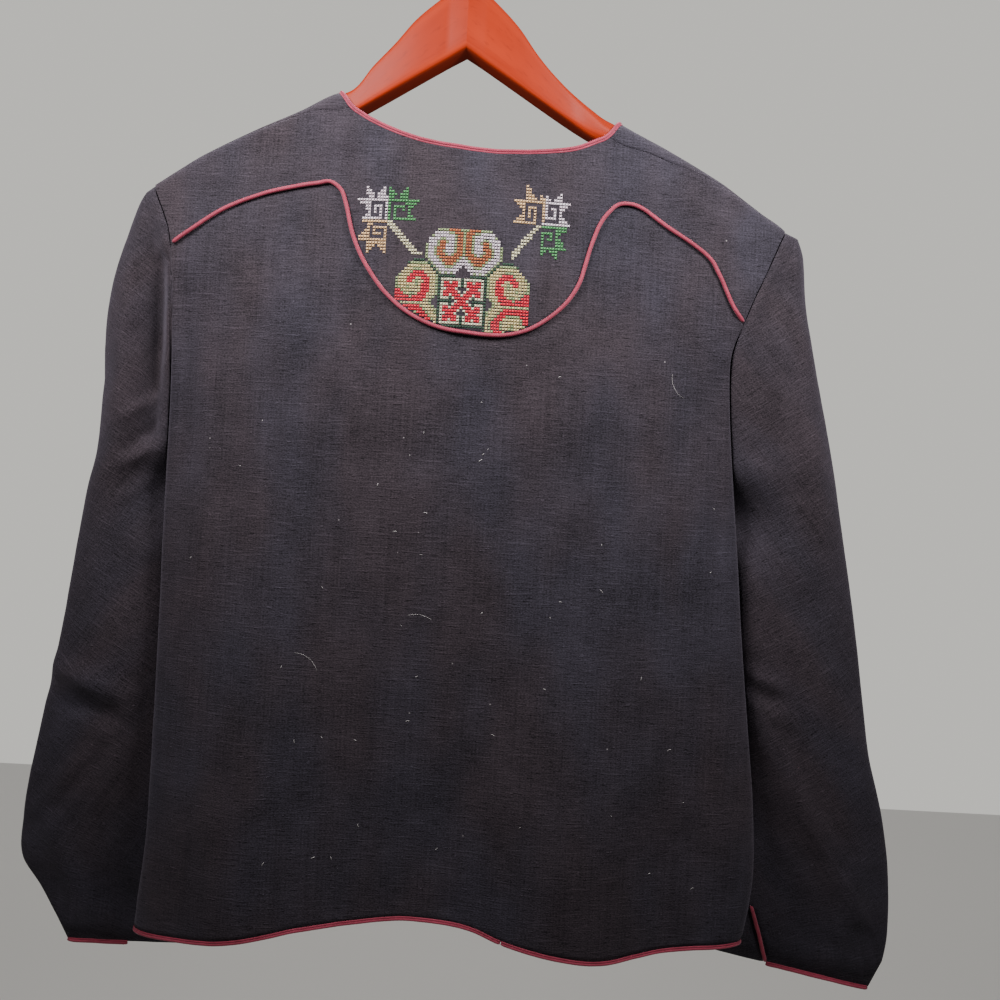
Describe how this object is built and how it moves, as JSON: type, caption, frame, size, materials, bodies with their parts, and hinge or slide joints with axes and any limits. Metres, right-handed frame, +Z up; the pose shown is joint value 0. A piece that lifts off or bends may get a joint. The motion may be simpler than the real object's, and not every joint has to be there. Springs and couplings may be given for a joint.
{
  "type": "hmong embroidered jacket on a wooden hanger",
  "caption": "Open-front handwoven cloth jacket with piped yoke, neck, hem and cuffs, hung with its sleeves loose on a contoured wooden hanger with a wire hook.",
  "frame": {"origin": "seat inside the top of the hanger's hook, where a rail carries it", "axes": "+Z up, +Y the way the wearer would face (the jacket's front), +X to the wearer's right"},
  "size_m": [0.6705, 0.1084, 0.8038],
  "materials": {
    "cloth": "matte, slubby handwoven",
    "piping": "matte corded piping",
    "wood": "varnished",
    "hook": "bright wire"
  },
  "bodies": {
    "root": {"back_panel": "cloth", "back_yoke": "cloth", "front_left": "cloth", "front_right": "cloth", "sleeve_left": "cloth", "sleeve_right": "cloth", "yoke_piping": "piping", "neck_piping": "piping", "hem_piping_left": "piping", "hem_piping_right": "piping", "cuff_piping_left": "piping", "cuff_piping_right": "piping", "vent_piping_right": "piping", "hanger_body": "wood", "hanger_hook": "hook"}
  },
  "joints": []
}
